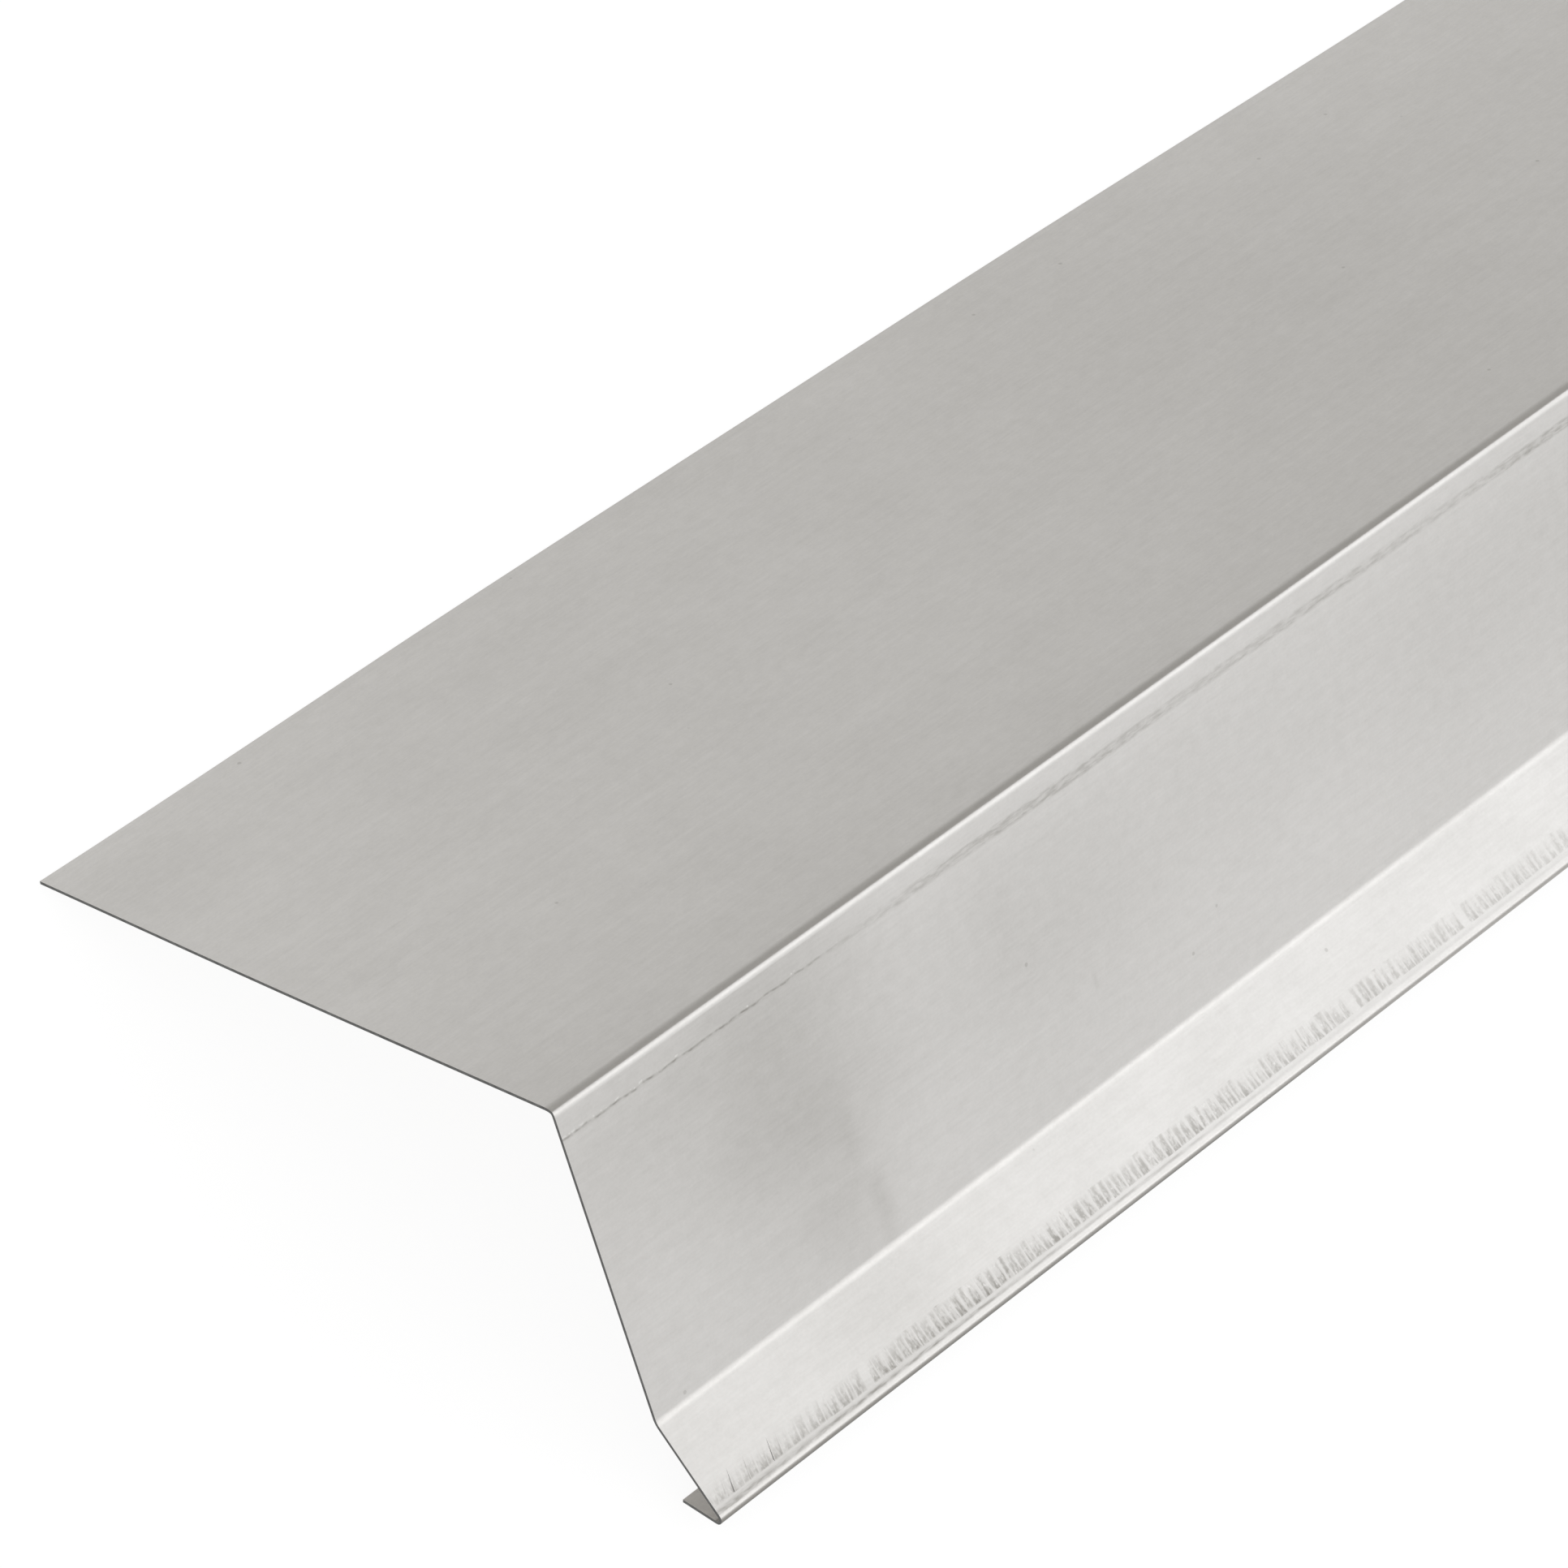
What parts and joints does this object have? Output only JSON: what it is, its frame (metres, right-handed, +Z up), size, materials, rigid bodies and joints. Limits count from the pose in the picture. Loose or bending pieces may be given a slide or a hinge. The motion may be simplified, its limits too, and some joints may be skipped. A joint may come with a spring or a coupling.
{
  "type": "eaves drip edge",
  "caption": "Folded galvanised sheet profile that laps onto the edge of a roof and throws rain clear of the wall, with a kicked-out lower lip and an inward return.",
  "frame": {"origin": "on the floor under the middle of the piece, which stands on the free edges of its roof leg and return", "axes": "+X along the length of the stock, -Y outwards from the eaves towards the gutter, +Z up"},
  "size_m": [2, 0.136, 0.046],
  "materials": {
    "galvanised_sheet": "satin mill finish with fine rolling grain along the length"
  },
  "bodies": {
    "root": {"drip_edge": "galvanised_sheet"}
  },
  "joints": []
}
